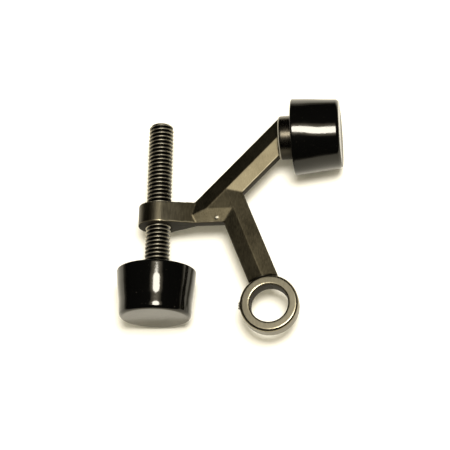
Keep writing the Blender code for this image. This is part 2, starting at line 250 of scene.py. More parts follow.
# %% Scratch group
scratches, given, result = start_group(
    "scratches",
    {"Vector": ("vector", None), "Scale": ("value", 500.0), "Width": ("value", 0.02),
     "Share": ("value", 0.4)},
    {"Mask": "value"},
)
bent = noise(scratches, given["Vector"], 250.0, 1.0)
bend_step = add_node(scratches, "VectorMath", {"operation": "SCALE"}, i0=(1.0, 0.4, 0.7))
scratches.links.new(maths(scratches, "MULTIPLY", bent, 0.0015), bend_step.inputs["Scale"])
bent_vector = add_node(
    scratches, "VectorMath", {"operation": "ADD"}, i0=given["Vector"], i1=bend_step.outputs[0]
)
cells = add_node(
    scratches, "TexVoronoi", {"feature": "DISTANCE_TO_EDGE"}, Vector=bent_vector.outputs[0],
    Scale=given["Scale"],
)
line = map_range(scratches, cells.outputs["Distance"], 0.0, given["Width"], 1.0, 0.0)
gate = noise(scratches, given["Vector"], 700.0, 2.0)
threshold = maths(scratches, "SUBTRACT", 1.0, given["Share"])
shown = map_range(scratches, gate, threshold, maths(scratches, "ADD", threshold, 0.08))
scratches.links.new(maths(scratches, "MULTIPLY", line, shown), result["Mask"])
print("scratch group:", len(scratches.nodes), "nodes")

# %% [markdown]
# ## Turned parts
# The bumpers, the head, the eye and the post are all round. Each starts as an outline from its axis out,
# with its corners rounded or chamfered, and is spun about the axis. Blender's Screw modifier would do as
# well. A spin in bmesh gives the mesh at once, ready for more work, so that is used.

# %% Outlines and spinning
MERGE = 0.4e-6
CORNER_STEPS = 6
SPIN_STEPS = 192
FINE_SPIN_STEPS = 256


def turned(vector, angle):
    cosine, sine = math.cos(angle), math.sin(angle)
    return Vector((vector.x * cosine - vector.y * sine, vector.x * sine + vector.y * cosine))


def rounded_outline(corners):
    """An outline from (radius, height, rounding) corners, each rounding an arc of a few steps."""
    points = []
    for index, (radius, height, rounding) in enumerate(corners):
        here = Vector((radius, height))
        if rounding <= 0.0 or index in (0, len(corners) - 1):
            points.append(here)
            continue
        before = Vector(corners[index - 1][:2]) - here
        after = Vector(corners[index + 1][:2]) - here
        half = before.angle(after) / 2
        reach = rounding / math.tan(half)
        centre = here + (before.normalized() + after.normalized()).normalized() * (rounding / math.sin(half))
        start = here + before.normalized() * reach - centre
        turn = -before.angle_signed(after) + math.pi * (1 if before.angle_signed(after) > 0 else -1)
        for step in range(CORNER_STEPS + 1):
            points.append(centre + turned(start, turn * step / CORNER_STEPS))
    return points


def closer_points(points, spacing):
    """The same outline with extra points on its long straight runs."""
    dense = [points[0]]
    for start, end in zip(points, points[1:]):
        count = max(1, math.ceil((end - start).length / spacing))
        dense += [start.lerp(end, step / count) for step in range(1, count + 1)]
    return dense


def spin(points, steps=SPIN_STEPS):
    """A closed solid of revolution about Z, as a bmesh."""
    shape = bmesh.new()
    verts = [shape.verts.new((point[0], 0.0, point[1])) for point in points]
    edges = [shape.edges.new(pair) for pair in zip(verts, verts[1:])]
    bmesh.ops.spin(
        shape, geom=verts + edges, axis=(0.0, 0.0, 1.0), cent=(0.0, 0.0, 0.0), angle=2 * math.pi,
        steps=steps, use_merge=True,
    )
    bmesh.ops.remove_doubles(shape, verts=shape.verts, dist=MERGE)
    bmesh.ops.recalc_face_normals(shape, faces=shape.faces)
    return shape


def finish_mesh(name, shape, placing=None):
    """Moves a bmesh into place and makes it a mesh with smooth shading."""
    if placing is not None:
        bmesh.ops.transform(shape, matrix=placing, verts=shape.verts)
    mesh = bpy.data.meshes.new(name)
    shape.to_mesh(mesh)
    shape.free()
    mesh.shade_smooth()
    return mesh


def axis_frame(point, direction):
    """The matrix that lays Z along a direction from a point."""
    return Matrix.Translation(point) @ direction.normalized().to_track_quat("Z", "Y").to_matrix().to_4x4()


print("turning tools ready")

# %% [markdown]
# ## The sizes of the casting
# The yoke is one zinc casting: an eye for the hinge pin, two arms with sloped facets, a strap that ends in
# a boss for the rod, and a round post for the fixed bumper. The CAD holds it as plain flat solids. The same
# sizes are named here, so that the fine casting lies exactly where the plain one is.

# %% Sizes of the casting
EYE_RADIUS = 6.9 * MM
EYE_BORE_RADIUS = 4.5 * MM
EYE_THICKNESS = 4.3 * MM
EYE_CHAMFER = 0.45 * MM
BORE_CHAMFER = 0.25 * MM
ARM_WIDTH = 6.95 * MM
WALL_HALF_HEIGHT = 1.2 * MM
RIDGE_HALF_HEIGHT = 1.95 * MM
FACET_WIDTH = 3.5 * MM
PLATE_STEP = 0.02 * MM
EYE_ARM_FOOT = Vector((0.9 * MM, 0.37 * MM))
JUNCTION = Vector((-10.67 * MM, 28.86 * MM))
BOSS_RADIUS = 4.8 * MM
BOSS_LENGTH = 5.06 * MM
BOSS_X = -27.2 * MM
BOSS_LOWER_Y = 20.24 * MM
STRAP_OVERRUN = 0.5 * MM
STRAP_LOWER_Y = 20.6 * MM
STRAP_UPPER_Y = 25.9 * MM
STRAP_TAIL = 1.5 * MM
STRAP_TAIL_DROP = 0.15 * MM
POST_AXIS_ANGLE = math.radians(1.9)
POST_BASE = Vector((2.1 * MM, 42.3 * MM))
NECK_RADIUS = 5.3 * MM
NECK_LENGTH = 3.35 * MM
NECK_EDGE = 0.5 * MM
ARM_BURIED = 1.0 * MM
FLANGE_RADIUS = 7.0 * MM
FLANGE_THICKNESS = 2.7 * MM
FLANGE_DEPTH = 3.3 * MM
FLANGE_CHAMFER = 0.4 * MM
ROD_RADIUS = 3.0 * MM
THREAD_PITCH = 1.0 * MM
THREAD_DEPTH = 0.61 * MM
CREST_FLAT = 0.13 * MM
ROOT_FLAT = 0.25 * MM
THREAD_CLEARANCE = 0.15 * MM
THREAD_AXIAL_CLEARANCE = 0.06 * MM
CUT_MARGIN = 2.0 * MM
print("eye across, mm:", round(2 * EYE_RADIUS / MM, 2), "and boss across:", round(2 * BOSS_RADIUS / MM, 2))

# %% [markdown]
# ## Arms from cut plates
# Each arm is a straight bar with upright walls and two long facets that meet in a ridge. Sculpting or
# bevelling a box would hide the numbers that fix its slopes. A block cut by planes keeps them: every wall
# gives one upright plane and two sloped ones, and whatever lies outside a plane is thrown away. The plates
# lie a hair's breadth under one another, since a boolean fails where faces lie exactly together.

# %% Walls and plates
BLOCK_SIZE = 0.12


def along(angle):
    return Vector((math.cos(angle), math.sin(angle)))


def left_of(angle):
    return along(angle + math.pi / 2)


def angle_to(start, end):
    return math.atan2(end.y - start.y, end.x - start.x)


def wall_planes(point, inward):
    """The upright side of a bar and the two facets that rise from it, as (point, outward) pairs."""
    rise = RIDGE_HALF_HEIGHT - WALL_HALF_HEIGHT
    planes = [(point, -inward)]
    for sign in (1, -1):
        edge = point + Vector((0.0, 0.0, sign * WALL_HALF_HEIGHT))
        planes.append((edge, -inward * rise + Vector((0.0, 0.0, sign * FACET_WIDTH))))
    return planes


def cut_block(planes, level=0.0):
    """A block cut by planes, with a flat top and bottom a little under the ridge height."""
    flat = Vector((0.0, 0.0, RIDGE_HALF_HEIGHT - level))
    up_axis = Vector((0.0, 0.0, 1.0))
    shape = bmesh.new()
    bmesh.ops.create_cube(shape, size=BLOCK_SIZE)
    for point, outward in [*planes, (flat, up_axis), (-flat, -up_axis)]:
        everything = shape.verts[:] + shape.edges[:] + shape.faces[:]
        bmesh.ops.bisect_plane(
            shape, geom=everything, dist=1e-7, plane_co=point, plane_no=outward, clear_outer=True
        )
        bmesh.ops.holes_fill(shape, edges=[edge for edge in shape.edges if edge.is_boundary])
    bmesh.ops.recalc_face_normals(shape, faces=shape.faces)
    return shape


def casting_walls(set_in=0.0):
    """The side walls of the arms and the strap: {name: (point, inward)}, moved inwards if asked."""
    half = ARM_WIDTH / 2
    junction = JUNCTION.to_3d()
    post_left = left_of(angle_to(JUNCTION, POST_BASE)).to_3d()
    eye_right = -left_of(angle_to(EYE_ARM_FOOT, JUNCTION)).to_3d()
    walls = {
        "post_left": (junction + post_left * half, -post_left),
        "post_right": (junction - post_left * half, post_left),
        "eye_right": (junction + eye_right * half, -eye_right),
        "eye_left": (junction - eye_right * half, eye_right),
        "strap_lower": (Vector((JUNCTION.x, STRAP_LOWER_Y, 0.0)), Vector((0.0, 1.0, 0.0))),
    }
    return {name: (point + inward * set_in, inward) for name, (point, inward) in walls.items()}


def arm_shapes():
    """The post arm, the eye arm and the flat triangle between their ridges."""
    walls, inner, innermost = (casting_walls(step * PLATE_STEP) for step in (0, 1, 2))
    post_axis = along(POST_AXIS_ANGLE).to_3d()
    post_upward = left_of(POST_AXIS_ANGLE).to_3d()
    ends = [
        (POST_BASE.to_3d() + post_axis * ARM_BURIED, post_axis),
        (POST_BASE.to_3d() + post_upward * (NECK_RADIUS - NECK_EDGE), post_upward),
    ]
    eye_end = [(Vector((0.0, 0.0, 0.0)), EYE_ARM_FOOT.to_3d() - JUNCTION.to_3d())]
    post_sides = [walls["post_left"], walls["post_right"], walls["strap_lower"]]
    eye_sides = [walls["eye_left"], walls["eye_right"], inner["post_left"]]
    middle_sides = [innermost[name] for name in ("post_left", "eye_right", "strap_lower")]
    return {
        "post_arm": cut_block(ends + sum((wall_planes(*side) for side in post_sides), [])),
        "eye_arm": cut_block(eye_end + sum((wall_planes(*side) for side in eye_sides), [])),
        "middle": cut_block(sum((wall_planes(*side) for side in middle_sides), []), 2 * PLATE_STEP),
    }


arms = arm_shapes()
print("plates:", {name: len(shape.faces) for name, shape in arms.items()})

# %% [markdown]
# ## Strap and boss
# Seen along the rod, the boss is a circle and the strap leaves it on two tangents that run straight down
# into the arms. A lofted curve could do this too. One outline pushed along the rod is simpler, and moving
# the points of its two ends afterwards makes the strap wider towards the arms.

# %% Strap and boss
BOSS_STEPS = 96


def strap_end_x():
    """Where the strap runs out, just inside the post arm's wall."""
    point, inward = casting_walls()["post_left"]
    return point.x + (point.y - STRAP_UPPER_Y) * inward.y / inward.x + STRAP_OVERRUN


def strap_tangent():
    """Direction, seen along the rod, from the boss's axis to where the strap's upper side leaves it."""
    across = strap_end_x() - BOSS_X
    reach = math.hypot(across, WALL_HALF_HEIGHT)
    return math.atan2(WALL_HALF_HEIGHT, across) + math.acos(BOSS_RADIUS / reach)


def strap_shape():
    """The outline seen along the rod, pushed along it, with both ends then moved out towards the arms."""
    tangent = strap_tangent()
    sweep = 2 * (math.pi - tangent)
    outline = []
    for step in range(BOSS_STEPS + 1):
        angle = tangent + sweep * step / BOSS_STEPS
        outline.append((BOSS_X + BOSS_RADIUS * math.cos(angle), BOSS_RADIUS * math.sin(angle)))
    leave_x = outline[0][0]
    end_x = strap_end_x()
    upper = [(end_x, WALL_HALF_HEIGHT), (end_x + STRAP_TAIL, WALL_HALF_HEIGHT - STRAP_TAIL_DROP)]
    outline = [*outline, *[(x, -z) for x, z in upper], *reversed(upper)]
    shape = bmesh.new()
    ring = [shape.verts.new((x, 0.0, z)) for x, z in outline]
    grown = bmesh.ops.extrude_face_region(shape, geom=[shape.faces.new(ring)])["geom"]
    moved = [part for part in grown if isinstance(part, bmesh.types.BMVert)]
    boss_upper_y = BOSS_LOWER_Y + BOSS_LENGTH
    ends = ((ring, BOSS_LOWER_Y, STRAP_LOWER_Y), (moved, boss_upper_y, STRAP_UPPER_Y))
    for verts, at_boss, at_arms in ends:
        for vert in verts:
            share = max(0.0, (vert.co.x - leave_x) / (end_x - leave_x))
            vert.co.y = at_boss + (at_arms - at_boss) * share
    bmesh.ops.triangulate(shape, faces=[face for face in shape.faces if len(face.verts) > 4])
    bmesh.ops.recalc_face_normals(shape, faces=shape.faces)
    return shape


strap = strap_shape()
print("strap and boss:", len(strap.faces), "faces")

# %% [markdown]
# ## Eye, post and the marks of casting
# The eye is a turned ring with a chamfer. The post is a neck with a mushroom flange, which the rubber
# bumper snaps over. A die casting also keeps marks of how it was made: the stump of the gate where the
# metal flowed in, broken off at the eye, and a small round pip on the strap's facet.

# %% Eye, post, gate stump and pip
POST_PLACING = axis_frame(
    POST_BASE.to_3d() + along(POST_AXIS_ANGLE).to_3d() * NECK_LENGTH, -along(POST_AXIS_ANGLE).to_3d()
)
GATE_TEETH = 3
GATE_TOOTH = Vector((0.45, 0.22, 0.80)) * MM
GATE_SPACING = 0.62 * MM
GATE_PLACE = Vector((-EYE_RADIUS - 0.02 * MM, -0.2 * MM, 0.55 * MM))
PIP_PLACE = Vector((-12.72, 21.75, 1.44)) * MM
PIP_RADIUS = 0.27 * MM
PIP_HEIGHT = 0.8 * PIP_RADIUS


def eye_shape():
    half = EYE_THICKNESS / 2
    rim = EYE_RADIUS - EYE_CHAMFER
    points = [(0.0, half), (rim, half), (EYE_RADIUS, half - EYE_CHAMFER)]
    return spin([*points, *[(radius, -height) for radius, height in reversed(points)]], FINE_SPIN_STEPS)


def bore_shape():
    half = EYE_THICKNESS / 2
    flare = EYE_BORE_RADIUS + BORE_CHAMFER
    far = half + CUT_MARGIN
    points = [(0.0, far), (flare, far), (flare, half), (EYE_BORE_RADIUS, half - BORE_CHAMFER)]
    return spin([*points, *[(radius, -height) for radius, height in reversed(points)]], FINE_SPIN_STEPS)


def flange_corners(top):
    """The flange's four outer corners, chamfered, from its upper rim to its flat end."""
    low = top - FLANGE_THICKNESS
    inner = FLANGE_RADIUS - FLANGE_CHAMFER
    upper = [(inner, top), (FLANGE_RADIUS, top - FLANGE_CHAMFER)]
    return [*upper, (FLANGE_RADIUS, low + FLANGE_CHAMFER), (inner, low)]


def post_shape():
    """The neck and its flange; local Z points back at the arm."""
    corners = [(0.0, NECK_LENGTH, 0.0), (NECK_RADIUS, NECK_LENGTH, NECK_EDGE)]
    corners.append((NECK_RADIUS, -FLANGE_DEPTH, 0.0))
    corners += [(radius, height, 0.0) for radius, height in flange_corners(-FLANGE_DEPTH)]
    corners.append((0.0, -FLANGE_DEPTH - FLANGE_THICKNESS, 0.0))
    shape = spin(rounded_outline(corners))
    bmesh.ops.transform(shape, matrix=POST_PLACING, verts=shape.verts)
    return shape


def knob_shape(place, size):
    """A small egg-shaped lump."""
    shape = bmesh.new()
    bmesh.ops.create_uvsphere(shape, u_segments=24, v_segments=16, radius=1.0)
    bmesh.ops.scale(shape, vec=size, verts=shape.verts)
    bmesh.ops.translate(shape, vec=place, verts=shape.verts)
    return shape


gate_teeth = {}
for tooth in range(GATE_TEETH):
    offset = Vector((0.0, (tooth - (GATE_TEETH - 1) / 2) * GATE_SPACING, 0.0))
    gate_teeth[f"gate_tooth_{tooth}"] = knob_shape(GATE_PLACE + offset, GATE_TOOTH)
pip = knob_shape(PIP_PLACE, (PIP_RADIUS, PIP_RADIUS, PIP_HEIGHT))
print("marks of casting:", len(gate_teeth) + 1)

# %% [markdown]
# ## Thread
# Rod and boss share one thread. A screw surface can be made with the Screw modifier, but the rounded tip
# and the worn crests are easier on a grid: a row of points around the rod for each small step along it,
# with each point's radius read from the thread's outline at the height where the helix has it.

# %% Thread surface
THREAD_AROUND = 96
THREAD_ROW = 0.05 * MM


def tooth_height(phase, crest, root):
    """How far the thread stands out of its root, 0 to 1, over one pitch that starts mid-root."""
    flank = (THREAD_PITCH - crest - root) / 2
    from_root = np.minimum(phase, THREAD_PITCH - phase)
    return np.clip((from_root - root / 2) / flank, 0.0, 1.0)


def thread_grid(radius, low, high, crest, root, rounding=0.0, limit=None):
    """A closed threaded bar about Z from low to high; limit(z) gives the greatest radius allowed."""
    rows = np.linspace(low, high, round((high - low) / THREAD_ROW) + 1)
    turns = np.arange(THREAD_AROUND) / THREAD_AROUND
    phase = np.mod(rows[:, None] - turns[None, :] * THREAD_PITCH, THREAD_PITCH)
    height = tooth_height(phase, crest, root)
    if rounding > 0.0:
        soft = 0.5 - 0.5 * np.cos(math.pi * height)
        height = height * (1.0 - rounding) + soft * rounding
    radii = radius - THREAD_DEPTH * (1.0 - height)
    if limit is not None:
        radii = np.minimum(radii, limit(rows)[:, None])
    angles = turns * 2 * math.pi
    shape = bmesh.new()
    grid = [
        [
            shape.verts.new((r * math.cos(a), r * math.sin(a), z))
            for r, a in zip(row, angles)
        ]
        for row, z in zip(radii, rows)
    ]
    for lower, upper in zip(grid, grid[1:]):
        for index in range(THREAD_AROUND):
            beside = (index + 1) % THREAD_AROUND
            shape.faces.new((lower[index], lower[beside], upper[beside], upper[index]))
    for ring, height_z in ((grid[0], low), (grid[-1], high)):
        middle = shape.verts.new((0.0, 0.0, height_z))
        for index in range(THREAD_AROUND):
            shape.faces.new((ring[index], ring[(index + 1) % THREAD_AROUND], middle))
    bmesh.ops.recalc_face_normals(shape, faces=shape.faces)
    return shape


def tapped_hole():
    """The thread that is cut into the boss, a clearance wider than the rod's."""
    widen = 2 * THREAD_AXIAL_CLEARANCE
    low, high = -CUT_MARGIN, BOSS_LENGTH + CUT_MARGIN
    shape = thread_grid(ROD_RADIUS + THREAD_CLEARANCE, low, high, CREST_FLAT + widen, ROOT_FLAT - widen)
    placing = axis_frame(Vector((BOSS_X, BOSS_LOWER_Y, 0.0)), Vector((0.0, 1.0, 0.0)))
    bmesh.ops.transform(shape, matrix=placing, verts=shape.verts)
    return shape


tap = tapped_hole()
print("tapped hole:", len(tap.faces), "faces")

# %% [markdown]
# ## Making one casting of it
# Booleans join the shapes, but their edges stay razor sharp, and a casting has none. A bevel often fails on
# the edges that a boolean leaves. A voxel remesh rebuilds the whole skin as small even squares, and a light
# smoothing then rounds each edge by the same small amount, as the die and the tumbling barrel do.

# %% Joining, remeshing and smoothing
VOXEL = 0.175 * MM
SMOOTHING_PASSES = 2
SMOOTHING_FACTOR = 0.5


def place_object(name, mesh):
    item = bpy.data.objects.new(name, mesh)
    SCENE.collection.objects.link(item)
    return item


def evaluated(item):
    """A new mesh with the object's modifiers applied."""
    graph = bpy.context.evaluated_depsgraph_get()
    return bpy.data.meshes.new_from_object(item.evaluated_get(graph))


def cast(name, solids, holes):
    """Joins solids, cuts holes, and gives the skin of the result as one even mesh."""
    names = list(solids)
    base = place_object(name, finish_mesh(name, solids[names[0]]))
    helpers = []
    steps = [(part, solids[part], "UNION") for part in names[1:]]
    steps += [(part, shape, "DIFFERENCE") for part, shape in holes.items()]
    for part, shape, operation in steps:
        helper = place_object(part, finish_mesh(part, shape))
        modifier = base.modifiers.new(part, "BOOLEAN")
        modifier.operation = operation
        modifier.solver = "EXACT"
        modifier.object = helper
        helpers.append(helper)
    remesh = base.modifiers.new("skin", "REMESH")
    remesh.mode = "VOXEL"
    remesh.voxel_size = VOXEL
    remesh.use_smooth_shade = True
    smooth = base.modifiers.new("tumbled", "SMOOTH")
    smooth.factor = SMOOTHING_FACTOR
    smooth.iterations = SMOOTHING_PASSES
    mesh = evaluated(base)
    for helper in helpers:
        bpy.data.objects.remove(helper)
    base.modifiers.clear()
    base.data = mesh
    mesh.shade_smooth()
    return base


solids = {**arms, "strap": strap, "eye": eye_shape(), "post": post_shape(), **gate_teeth, "pip": pip}
casting = cast("yoke_casting", solids, {"pin_bore": bore_shape(), "tap": tap})
print("casting:", len(casting.data.polygons), "faces")

# %% [markdown]
# ## Measuring the folds
# The wear needs to know where edges are. If a copy of the mesh is smoothed many times, points on an edge
# sink and points in a corner rise. How far each point moved against its normal is therefore a good measure,
# and it is stored on the mesh as the attribute `fold`.

# %% Fold measure
CASTING_FOLD = 0.05 * MM


def points_and_normals(mesh):
    flat = np.zeros((2, len(mesh.vertices) * 3), np.float32)
    mesh.vertices.foreach_get("co", flat[0])
    mesh.vertices.foreach_get("normal", flat[1])
    return flat[0].reshape(-1, 3).astype(float), flat[1].reshape(-1, 3).astype(float)


def store(mesh, name, values):
    mesh.attributes.new(name, "FLOAT", "POINT").data.foreach_set("value", values.astype(np.float32))


def edge_ends_and_neighbours(mesh):
    """The two points of each edge, and how many neighbours each point has."""
    ends = np.zeros(len(mesh.edges) * 2, np.int32)
    mesh.edges.foreach_get("vertices", ends)
    ends = ends.reshape(-1, 2)
    return ends, np.bincount(ends.ravel(), minlength=len(mesh.vertices))


def measure_folds(mesh, passes, full_at):
    """Stores the attribute fold: +1 where an edge stands out by full_at, -1 in such a corner."""
    count = len(mesh.vertices)
    start, normals = points_and_normals(mesh)
    ends, neighbours = edge_ends_and_neighbours(mesh)
    moved = start.copy()
    for _ in range(passes):
        total = np.stack([
            np.bincount(ends[:, 0], moved[ends[:, 1], axis], count)
            + np.bincount(ends[:, 1], moved[ends[:, 0], axis], count)
            for axis in range(3)
        ], 1)
        moved = 0.5 * moved + 0.5 * total / neighbours[:, None]
    sunk = ((start - moved) * normals).sum(1)
    fold = np.clip(sunk / full_at, -1.0, 1.0)
    store(mesh, "fold", fold)
    return fold


casting_folds = measure_folds(casting.data, 12, CASTING_FOLD)
print("share of the casting on an edge:", round(float((casting_folds > 0.5).mean()), 3))

# %% [markdown]
# ## Where the tools have been
# The two halves of the die meet at half height and leave a fine raised line on the walls. The belt has
# brushed what it could reach, which is the facets, the boss and the eye's rim. The eye's flat faces and rim
# were ground bright. The top of the boss and the start of the strap get the same lighter colour, which
# there is a painted highlight. Walls and holes keep the black of the bath, and the neck's edge and the pip
# are rubbed bare. The neck is metal only on its top, and the black left on its underside is painted shade.
# A texture painted by hand could say this. Here each point's place and normal say it, and four attributes
# keep it: one for the brushing, one for the ground faces and the painted highlight, one for the neck and one
# for bare metal.

# %% Parting line and finish regions
SEAM_HEIGHT = 0.06 * MM
SEAM_HALF_WIDTH = 0.20 * MM
SEAM_CLEARANCE = 0.3 * MM
FACET_TILT = (0.35, 0.75)
FLAT_END_TILT = 0.6
EYE_FACE_START = 1.75 * MM
EYE_FACE_FULL = 2.0 * MM
# How strongly the painted highlight over the top of the boss and the strap shows.
CROWN_HIGHLIGHT_SHARE = 0.45
CROWN_RISE = 2.0 * MM
CROWN_FADE_START = 1.0 * MM
CROWN_FADE_END = 9.0 * MM
POST_REACH = 7.0 * MM
NECK_TILT = (0.25, 0.7)
NECK_BLEND = 0.2 * MM
RIM_MIDDLE = 0.12 * MM
RIM_HALF_WIDTH = 0.22 * MM
RIM_EDGE_START = 0.45 * MM
RIM_EDGE_FULL = 0.25 * MM


def smooth_step(values, low, high):
    share = np.clip((values - low) / (high - low), 0.0, 1.0)
    return share * share * (3.0 - 2.0 * share)


def hump(values, middle, half_width):
    """1 at the middle, falling evenly to 0 at half a width on either side."""
    return np.clip(1.0 - np.abs(values - middle) / half_width, 0.0, 1.0)


def raise_seam(mesh):
    """Lifts the parting line out of the upright walls of the arms, and counts the points it lifts."""
    points, normals = points_and_normals(mesh)
    x, y, z = points.T
    upright = smooth_step(-np.abs(normals[:, 2]), -0.5, -0.2)
    clear = np.hypot(x, y) > EYE_RADIUS + SEAM_CLEARANCE
    clear &= (x < POST_BASE.x - SEAM_CLEARANCE) & (x > BOSS_X + BOSS_RADIUS)
    height = SEAM_HEIGHT * upright * hump(z, 0.0, SEAM_HALF_WIDTH) * clear
    mesh.vertices.foreach_set("co", (points + normals * height[:, None]).astype(np.float32).ravel())
    mesh.update()
    return int((height > SEAM_HEIGHT / 2).sum())


def post_places(x, y):
    """How far along the post's axis a point lies from the arm's end, and how far beside that axis."""
    cosine, sine = math.cos(POST_AXIS_ANGLE), math.sin(POST_AXIS_ANGLE)
    ahead, beside = x - POST_BASE.x, y - POST_BASE.y
    return ahead * cosine + beside * sine, beside * cosine - ahead * sine


def belt_regions(x, z, from_eye, tilts):
    """What the belt brushed, and how bright the eye's faces and rim are, with a painted highlight on the top
    of the boss.
    """
    from_rod = np.hypot(x - BOSS_X, z)
    brushed = smooth_step(tilts[:, 2], *FACET_TILT)
    eye_rim = (from_eye > EYE_RADIUS - 0.4 * MM) & (from_eye < EYE_RADIUS + 0.2 * MM)
    boss_side = (from_rod > BOSS_RADIUS - 0.3 * MM) & (x < BOSS_X + BOSS_RADIUS)
    boss_side &= tilts[:, 1] < FLAT_END_TILT
    holes = (from_eye < EYE_BORE_RADIUS + 0.1 * MM) | (from_rod < ROD_RADIUS + 0.2 * MM)
    brushed[eye_rim | boss_side] = 1.0
    brushed[holes] = 0.0
    face = smooth_step(np.abs(z), EYE_FACE_START, EYE_FACE_FULL)
    bright = np.maximum(face, from_eye > EYE_RADIUS - 0.2 * MM)
    # Painted highlight: a lighter band from the middle of the boss's top that fades out along the strap.
    painted_crown_highlight = smooth_step(x, BOSS_X - CROWN_RISE, BOSS_X)
    painted_crown_highlight *= 1.0 - smooth_step(x, BOSS_X + CROWN_FADE_START, BOSS_X + CROWN_FADE_END)
    ground_and_highlight = np.maximum((from_eye < EYE_RADIUS + 0.1 * MM) * bright, CROWN_HIGHLIGHT_SHARE * painted_crown_highlight)
    return brushed, ground_and_highlight * brushed


def mark_regions(mesh):
    """Stores the four attributes, each from 0 to 1, and gives the mean of each."""
    points, normals = points_and_normals(mesh)
    x, y, z = points.T
    brushed, ground_and_highlight = belt_regions(x, z, np.hypot(x, y), np.abs(normals))
    along_post, beside_post = post_places(x, y)
    at_post = y > POST_BASE.y - POST_REACH
    brushed[at_post & (along_post > 0.0)] = 0.0
    # Painted shade: only the upward-facing part of the neck is metal, and its underside keeps the flat
    # black.
    neck = smooth_step(along_post, 0.0, NECK_BLEND) * at_post * smooth_step(normals[:, 2], *NECK_TILT)
    from_axis = np.hypot(beside_post, z)
    edge = at_post * smooth_step(from_axis, NECK_RADIUS - RIM_EDGE_START, NECK_RADIUS - RIM_EDGE_FULL)
    edge *= hump(along_post, RIM_MIDDLE, RIM_HALF_WIDTH)
    pip_top = np.linalg.norm(points - np.array(PIP_PLACE), axis=1) < PIP_RADIUS * 1.25
    pip_top &= z > PIP_PLACE.z + 0.05 * MM
    regions = {"brushed": brushed, "ground_and_highlight": ground_and_highlight, "neck": neck, "bare": np.maximum(edge, pip_top)}
    for region, values in regions.items():
        store(mesh, region, values)
    return {region: round(float(values.mean()), 3) for region, values in regions.items()}


print("points on the parting line:", raise_seam(casting.data))
print("shares:", mark_regions(casting.data))

# %% [markdown]
# ## Finish of the casting
# The zinc is plated, darkened and brushed, then relieved so that it keeps a warm dull gleam. It could be
# painted as a plain grey, but what makes it look like metal is that almost all of its colour is mirrored
# light. So the brushed faces are metallic with a dark warm colour, and grain, patches and wear move their
# colour and roughness a little. Walls and holes keep a flat black coat, which isn't metallic. The neck's top
# is smoother than the rest, and only its edge and the pip show bare zinc.

# %% Casting material
CASTING_DARK = (0.032, 0.027, 0.0165, 1.0)
CASTING_WARM = (0.059, 0.051, 0.032, 1.0)
CASTING_WORN = (0.22, 0.195, 0.135, 1.0)
# The colour of the ground eye faces, also used for the painted highlight on the boss's top.
CASTING_GROUND_AND_HIGHLIGHT = (0.095, 0.086, 0.062, 1.0)
CASTING_GLEAM = (0.122, 0.111, 0.080, 1.0)
CASTING_BLACK = (0.020, 0.0165, 0.010, 1.0)
BLACK_IOR = 1.18
# The neck's top; its underside keeps the flat black, which is painted shade.
CASTING_NECK = (0.070, 0.063, 0.048, 1.0)
BARE_ZINC = (0.52, 0.49, 0.41, 1.0)
CASTING_BUMP = 0.006 * MM


def start_material(name, metallic):
    material = bpy.data.materials.new(name)
    material.use_nodes = True
    tree = material.node_tree
    shader = tree.nodes["Principled BSDF"]
    shader.inputs["Metallic"].default_value = metallic
    coordinates = tree.nodes.new("ShaderNodeTexCoord").outputs["Object"]
    return material, tree, shader, coordinates


def blend_colours(tree, share, first, second):
    """One colour over another; a colour is a fixed value or a link."""
    return add_node(tree, "Mix", {"data_type": "RGBA"}, i0=share, i6=first, i7=second).outputs[2]


def add_bump(tree, height, distance):
    return add_node(tree, "Bump", None, Height=height, Distance=distance).outputs[0]


def attribute(tree, name):
    return add_node(tree, "Attribute", {"attribute_name": name}).outputs["Fac"]


